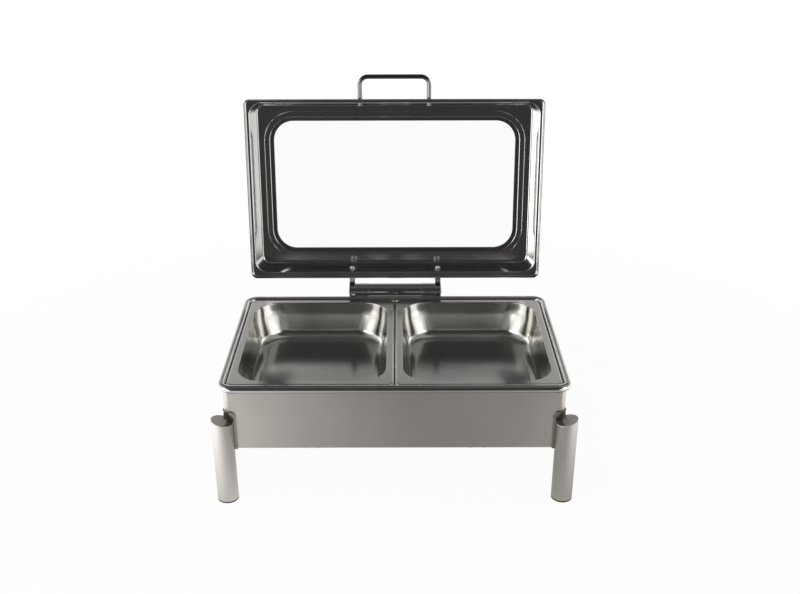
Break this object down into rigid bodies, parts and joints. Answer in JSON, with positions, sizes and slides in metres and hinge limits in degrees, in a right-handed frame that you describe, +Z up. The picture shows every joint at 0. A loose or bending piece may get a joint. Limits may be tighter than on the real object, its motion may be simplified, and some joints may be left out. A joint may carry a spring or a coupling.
{
  "type": "chafing dish",
  "caption": "Rectangular stainless steel food warmer on round legs, with lift-out food pans over a water pan and a glass-window lid on a damped barrel hinge.",
  "frame": {"origin": "on the table, midway between the legs, under the middle of the food pans", "axes": "+X to the right seen from the front, +Y from the front to the hinge side, +Z up"},
  "size_m": [0.578, 0.4776, 0.5963],
  "materials": {
    "brushed_steel": "brushed",
    "pressed_steel": "satin to mirror",
    "polished_steel": "polished stainless steel",
    "tempered_glass": "clear",
    "black_silicone": "matt",
    "black_plastic": "matt",
    "bronze": "plain"
  },
  "bodies": {
    "stand": {"stand_skirt": "brushed_steel", "leg_front_left": "brushed_steel", "leg_front_right": "brushed_steel", "leg_rear_left": "brushed_steel", "leg_rear_right": "brushed_steel", "leg_cap_front_left": "polished_steel", "leg_cap_front_right": "polished_steel", "leg_cap_rear_left": "polished_steel", "leg_cap_rear_right": "polished_steel", "leg_foot_front_left": "black_plastic", "leg_foot_front_right": "black_plastic", "leg_foot_rear_left": "black_plastic", "leg_foot_rear_right": "black_plastic", "leg_bracket_front_left": "polished_steel", "leg_bracket_front_right": "polished_steel", "leg_bracket_rear_left": "polished_steel", "leg_bracket_rear_right": "polished_steel", "leg_inserts": "brushed_steel", "leg_screws": "brushed_steel", "burner_rail_left": "brushed_steel", "burner_rail_right": "brushed_steel", "burner_cup_left": "brushed_steel", "burner_cup_right": "brushed_steel", "rail_rivets": "brushed_steel", "cup_rivets": "brushed_steel", "snuffer_pins": "brushed_steel"},
    "water_pan": {"water_pan": "pressed_steel", "hinge_bracket_left": "polished_steel", "hinge_bracket_right": "polished_steel", "hinge_clamps": "polished_steel", "clamp_screws": "polished_steel", "hinge_barrel": "polished_steel", "barrel_rings": "polished_steel", "damper_housing": "brushed_steel", "damper_cover": "brushed_steel", "torsion_spring": "brushed_steel", "spring_anchor": "brushed_steel", "hinge_bushes": "bronze"},
    "food_pan_left": {"food_pan_left": "pressed_steel"},
    "food_pan_right": {"food_pan_right": "pressed_steel"},
    "lid": {"lid_shell": "pressed_steel", "window_glass": "tempered_glass", "window_gasket": "black_silicone", "window_frame": "polished_steel", "lid_handle": "polished_steel", "handle_ferrules": "polished_steel", "handle_screws": "polished_steel", "hinge_arm_left": "polished_steel", "hinge_arm_right": "polished_steel", "arm_nuts": "polished_steel", "hinge_shaft": "brushed_steel", "damper_rotor": "brushed_steel", "spring_driver": "brushed_steel", "hinge_end_caps": "polished_steel"},
    "snuffer_left": {"snuffer_left": "brushed_steel"},
    "snuffer_right": {"snuffer_right": "brushed_steel"}
  },
  "joints": [
    {"name": "water_pan_lift", "type": "slide", "parent": "stand", "child": "water_pan", "axis": [0, 0, 1], "range_m": [0, 0.12]},
    {"name": "lid_hinge", "type": "hinge", "parent": "water_pan", "child": "lid", "pos_m": [0, 0.1875, 0.2107], "axis": [1, 0, 0], "range_deg": [0, 97.6], "stiffness_Nm_per_rad": 1.5},
    {"name": "food_pan_left_lift", "type": "slide", "parent": "water_pan", "child": "food_pan_left", "axis": [0, 0, 1], "range_m": [0, 0.16]},
    {"name": "food_pan_right_lift", "type": "slide", "parent": "water_pan", "child": "food_pan_right", "axis": [0, 0, 1], "range_m": [0, 0.16]},
    {"name": "snuffer_left_swivel", "type": "hinge", "parent": "stand", "child": "snuffer_left", "pos_m": [-0.183, 0, 0.0805], "axis": [0, 0, -1], "range_deg": [0, 110]},
    {"name": "snuffer_right_swivel", "type": "hinge", "parent": "stand", "child": "snuffer_right", "pos_m": [0.183, 0, 0.0805], "axis": [0, 0, 1], "range_deg": [0, 110]}
  ]
}
